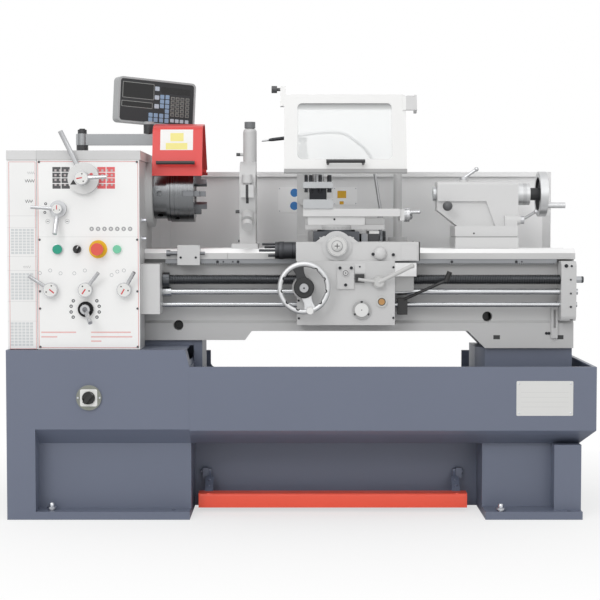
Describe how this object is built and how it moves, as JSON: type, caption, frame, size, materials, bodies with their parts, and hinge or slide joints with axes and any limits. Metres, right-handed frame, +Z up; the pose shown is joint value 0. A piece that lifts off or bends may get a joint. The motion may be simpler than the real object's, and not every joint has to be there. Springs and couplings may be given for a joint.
{
  "type": "gap-bed engine lathe",
  "caption": "Manual gap-bed engine lathe on a cabinet base: geared headstock, guarded chuck, steady rest, carriage with chip shield, tailstock and digital readout.",
  "frame": {"origin": "on the floor, under the spindle axis and half way along the base", "axes": "+X along the spindle from headstock to tailstock, +Y to the back, +Z up"},
  "size_m": [2.06, 0.798, 1.5864],
  "materials": {
    "base_paint": "satin blue-grey stove enamel",
    "casting_paint": "light grey machine enamel",
    "panel_white": "white printed sheet",
    "dark_metal": "oiled black steel",
    "bright_steel": "ground steel",
    "satin_chrome": "satin chrome plate",
    "guard_red": "red enamel",
    "pedal_red": "orange-red enamel",
    "readout_housing": "light grey powder coat",
    "black_plastic": "moulded black",
    "green_plastic": "green button",
    "red_plastic": "red mushroom",
    "clear_sheet": "clear sheet"
  },
  "bodies": {
    "base": {"left_cabinet": "base_paint", "right_cabinet": "base_paint", "chip_tray": "base_paint", "bed": "casting_paint", "feed_rack": "dark_metal", "headstock": "casting_paint", "front_panel": "panel_white", "splash_guard": "casting_paint", "electrical_box": "casting_paint", "motor_drive": "dark_metal", "stop_block": "casting_paint"},
    "spindle": {"spindle": "bright_steel", "chuck_body": "bright_steel"},
    "carriage": {"saddle": "casting_paint", "apron": "casting_paint", "follow_rest": "casting_paint", "coolant_pipe": "satin_chrome"},
    "chip_shield": {"chip_shield": "panel_white", "shield_window": "clear_sheet"},
    "end_cover": {"end_cover": "casting_paint"},
    "chuck_jaw_1": {"chuck_jaw_1": "bright_steel"},
    "chuck_jaw_2": {"chuck_jaw_2": "bright_steel"},
    "chuck_jaw_3": {"chuck_jaw_3": "bright_steel"},
    "chuck_guard": {"chuck_guard": "guard_red"},
    "dro_arm": {"dro_arm": "bright_steel"},
    "dro_display": {"dro_display": "readout_housing"},
    "speed_lever": {"speed_lever": "satin_chrome"},
    "range_lever": {"range_lever": "satin_chrome"},
    "thread_lever": {"thread_lever": "satin_chrome"},
    "direction_lever": {"direction_lever": "dark_metal"},
    "gear_lever_1": {"gear_lever_1": "satin_chrome"},
    "gear_lever_2": {"gear_lever_2": "satin_chrome"},
    "gear_lever_3": {"gear_lever_3": "satin_chrome"},
    "feed_selector": {"feed_selector": "dark_metal"},
    "start_button": {"start_button": "green_plastic"},
    "coolant_switch": {"coolant_switch": "black_plastic"},
    "emergency_stop": {"emergency_stop": "red_plastic"},
    "main_switch": {"main_switch": "black_plastic"},
    "brake_pedal": {"brake_pedal": "pedal_red"},
    "leadscrew": {"leadscrew": "dark_metal"},
    "feed_rod": {"feed_rod": "bright_steel"},
    "switch_rod": {"switch_rod": "bright_steel"},
    "carriage_handwheel": {"carriage_handwheel": "satin_chrome"},
    "feed_lever": {"feed_lever": "satin_chrome"},
    "spindle_lever": {"spindle_lever": "black_plastic"},
    "stop_turret": {"stop_turret": "dark_metal"},
    "cross_slide": {"cross_slide": "dark_metal"},
    "cross_dial": {"cross_dial": "satin_chrome"},
    "compound_base": {"compound_base": "casting_paint"},
    "top_slide": {"top_slide": "casting_paint"},
    "top_slide_crank": {"top_slide_crank": "satin_chrome"},
    "toolpost": {"toolpost": "bright_steel"},
    "toolpost_lever": {"toolpost_lever": "satin_chrome"},
    "steady_base": {"steady_base": "casting_paint"},
    "steady_top": {"steady_top": "casting_paint"},
    "tailstock": {"tailstock": "casting_paint"},
    "quill": {"quill": "bright_steel"},
    "tail_handwheel": {"tail_handwheel": "satin_chrome"},
    "quill_lever": {"quill_lever": "satin_chrome"},
    "clamp_lever": {"clamp_lever": "satin_chrome"}
  },
  "joints": [
    {"name": "end_cover_swing", "type": "hinge", "parent": "base", "child": "end_cover", "pos_m": [-0.921, 0.16, 0.94], "axis": [0, 0, 1], "range_deg": [-95, 0]},
    {"name": "spindle_spin", "type": "hinge", "parent": "base", "child": "spindle", "pos_m": [-0.514, 0, 1.145], "axis": [1, 0, 0], "continuous": true},
    {"name": "jaw_1_slide", "type": "slide", "parent": "spindle", "child": "chuck_jaw_1", "axis": [0, -1, 0], "range_m": [-0.025, 0.01]},
    {"name": "jaw_2_slide", "type": "slide", "parent": "spindle", "child": "chuck_jaw_2", "axis": [0, 0.5, -0.866], "range_m": [-0.025, 0.01]},
    {"name": "jaw_3_slide", "type": "slide", "parent": "spindle", "child": "chuck_jaw_3", "axis": [0, 0.5, 0.866], "range_m": [-0.025, 0.01]},
    {"name": "chuck_guard_swing", "type": "hinge", "parent": "base", "child": "chuck_guard", "pos_m": [-0.45, 0.19, 1.235], "axis": [1, 0, 0], "range_deg": [-30, 0]},
    {"name": "dro_arm_swing", "type": "hinge", "parent": "base", "child": "dro_arm", "pos_m": [-0.822, 0.12, 1.35], "axis": [0, 0, 1], "range_deg": [0, 50]},
    {"name": "dro_swivel", "type": "hinge", "parent": "dro_arm", "child": "dro_display", "pos_m": [-0.572, 0.12, 1.385], "axis": [0, 0, 1], "range_deg": [-5, 40]},
    {"name": "speed_lever_turn", "type": "hinge", "parent": "base", "child": "speed_lever", "pos_m": [-0.756, -0.32, 1.193], "axis": [0, 1, 0], "range_deg": [-40, 40]},
    {"name": "range_lever_turn", "type": "hinge", "parent": "base", "child": "range_lever", "pos_m": [-0.756, -0.36, 1.193], "axis": [0, 1, 0], "range_deg": [-35, 35]},
    {"name": "direction_lever_turn", "type": "hinge", "parent": "base", "child": "direction_lever", "pos_m": [-0.845, -0.32, 1.087], "axis": [0, 1, 0], "range_deg": [-30, 30]},
    {"name": "thread_lever_turn", "type": "hinge", "parent": "base", "child": "thread_lever", "pos_m": [-0.845, -0.34, 1.087], "axis": [0, 1, 0], "range_deg": [-30, 30]},
    {"name": "gear_lever_1_turn", "type": "hinge", "parent": "base", "child": "gear_lever_1", "pos_m": [-0.873, -0.325, 0.806], "axis": [0, 1, 0], "range_deg": [-30, 30]},
    {"name": "gear_lever_2_turn", "type": "hinge", "parent": "base", "child": "gear_lever_2", "pos_m": [-0.752, -0.325, 0.806], "axis": [0, 1, 0], "range_deg": [-30, 30]},
    {"name": "gear_lever_3_turn", "type": "hinge", "parent": "base", "child": "gear_lever_3", "pos_m": [-0.617, -0.325, 0.806], "axis": [0, 1, 0], "range_deg": [-30, 30]},
    {"name": "feed_selector_turn", "type": "hinge", "parent": "base", "child": "feed_selector", "pos_m": [-0.752, -0.325, 0.738], "axis": [0, 1, 0], "range_deg": [-120, 120]},
    {"name": "start_button_press", "type": "slide", "parent": "base", "child": "start_button", "axis": [0, 1, 0], "range_m": [0, 0.004], "stiffness_N_per_m": 800},
    {"name": "coolant_switch_turn", "type": "hinge", "parent": "base", "child": "coolant_switch", "pos_m": [-0.781, -0.32, 0.947], "axis": [0, 1, 0], "range_deg": [-60, 60]},
    {"name": "emergency_stop_press", "type": "slide", "parent": "base", "child": "emergency_stop", "axis": [0, 1, 0], "range_m": [0, 0.006]},
    {"name": "main_switch_turn", "type": "hinge", "parent": "base", "child": "main_switch", "pos_m": [-0.741, -0.34, 0.43], "axis": [0, 1, 0], "range_deg": [-90, 0]},
    {"name": "brake_pedal_press", "type": "hinge", "parent": "base", "child": "brake_pedal", "pos_m": [0.1, -0.062, 0.128], "axis": [1, 0, 0], "range_deg": [0, 5.5], "stiffness_Nm_per_rad": 400, "springref_deg": -6.88},
    {"name": "leadscrew_spin", "type": "hinge", "parent": "base", "child": "leadscrew", "pos_m": [0.2, -0.165, 0.836], "axis": [1, 0, 0], "continuous": true},
    {"name": "feed_rod_spin", "type": "hinge", "parent": "base", "child": "feed_rod", "pos_m": [0.2, -0.165, 0.7925], "axis": [1, 0, 0], "continuous": true},
    {"name": "switch_rod_turn", "type": "hinge", "parent": "base", "child": "switch_rod", "pos_m": [0.2, -0.165, 0.7466], "axis": [1, 0, 0], "range_deg": [-12, 17]},
    {"name": "carriage_travel", "type": "slide", "parent": "base", "child": "carriage", "axis": [1, 0, 0], "range_m": [-0.08, 0.02]},
    {"name": "carriage_handwheel_turn", "type": "hinge", "parent": "carriage", "child": "carriage_handwheel", "pos_m": [0.009, -0.288, 0.811], "axis": [0, 1, 0], "continuous": true},
    {"name": "feed_lever_turn", "type": "hinge", "parent": "carriage", "child": "feed_lever", "pos_m": [0.274, -0.244, 0.83], "axis": [0, 1, 0], "range_deg": [-22, 22]},
    {"name": "spindle_lever_turn", "type": "hinge", "parent": "carriage", "child": "spindle_lever", "pos_m": [0.362, -0.165, 0.7466], "axis": [1, 0, 0], "range_deg": [-10, 15]},
    {"name": "stop_turret_turn", "type": "hinge", "parent": "carriage", "child": "stop_turret", "pos_m": [-0.06, -0.18, 0.941], "axis": [1, 0, 0], "continuous": true},
    {"name": "cross_slide_travel", "type": "slide", "parent": "carriage", "child": "cross_slide", "axis": [0, 1, 0], "range_m": [-0.03, 0.03]},
    {"name": "cross_dial_turn", "type": "hinge", "parent": "carriage", "child": "cross_dial", "pos_m": [0.126, -0.228, 0.957], "axis": [0, 1, 0], "continuous": true},
    {"name": "compound_swivel", "type": "hinge", "parent": "cross_slide", "child": "compound_base", "pos_m": [0.126, -0.08, 1.02], "axis": [0, 0, 1], "range_deg": [-20, 5]},
    {"name": "top_slide_travel", "type": "slide", "parent": "compound_base", "child": "top_slide", "axis": [1, 0, 0], "range_m": [-0.03, 0.03]},
    {"name": "top_slide_crank_turn", "type": "hinge", "parent": "top_slide", "child": "top_slide_crank", "pos_m": [0.39, -0.08, 1.068], "axis": [1, 0, 0], "continuous": true},
    {"name": "toolpost_turn", "type": "hinge", "parent": "top_slide", "child": "toolpost", "pos_m": [0.06, -0.08, 1.14], "axis": [0, 0, 1], "continuous": true},
    {"name": "toolpost_lever_turn", "type": "hinge", "parent": "top_slide", "child": "toolpost_lever", "pos_m": [0.06, -0.08, 1.205], "axis": [0, 0, 1], "range_deg": [-30, 60]},
    {"name": "chip_shield_swing", "type": "hinge", "parent": "carriage", "child": "chip_shield", "pos_m": [0.4, -0.08, 1.485], "axis": [1, 0, 0], "range_deg": [-75, 0]},
    {"name": "steady_travel", "type": "slide", "parent": "base", "child": "steady_base", "axis": [1, 0, 0], "range_m": [-0.09, 0]},
    {"name": "steady_top_swing", "type": "hinge", "parent": "steady_base", "child": "steady_top", "pos_m": [-0.195, 0.136, 1.152], "axis": [1, 0, 0], "range_deg": [-65, 0]},
    {"name": "tailstock_travel", "type": "slide", "parent": "base", "child": "tailstock", "axis": [1, 0, 0], "range_m": [0, 0.19]},
    {"name": "quill_travel", "type": "slide", "parent": "tailstock", "child": "quill", "axis": [-1, 0, 0], "range_m": [0, 0.1]},
    {"name": "tail_handwheel_turn", "type": "hinge", "parent": "tailstock", "child": "tail_handwheel", "pos_m": [0.884, 0, 1.145], "axis": [1, 0, 0], "continuous": true},
    {"name": "quill_lever_turn", "type": "hinge", "parent": "tailstock", "child": "quill_lever", "pos_m": [0.597, 0, 1.2], "axis": [0, 0, 1], "range_deg": [-60, 30]},
    {"name": "clamp_lever_turn", "type": "hinge", "parent": "tailstock", "child": "clamp_lever", "pos_m": [0.804, -0.06, 1.05], "axis": [1, 0, 0], "range_deg": [-25, 25]}
  ],
  "couplings": [
    {"joint": "jaw_2_slide", "follows": "jaw_1_slide", "ratio": 1},
    {"joint": "jaw_3_slide", "follows": "jaw_1_slide", "ratio": 1},
    {"joint": "switch_rod_turn", "follows": "spindle_lever_turn", "ratio": 1},
    {"joint": "carriage_handwheel_turn", "follows": "carriage_travel", "rad_per_m": 261.8},
    {"joint": "cross_dial_turn", "follows": "cross_slide_travel", "rad_per_m": 1256.6},
    {"joint": "top_slide_crank_turn", "follows": "top_slide_travel", "rad_per_m": -1256.6},
    {"joint": "tail_handwheel_turn", "follows": "quill_travel", "rad_per_m": -1256.6}
  ]
}
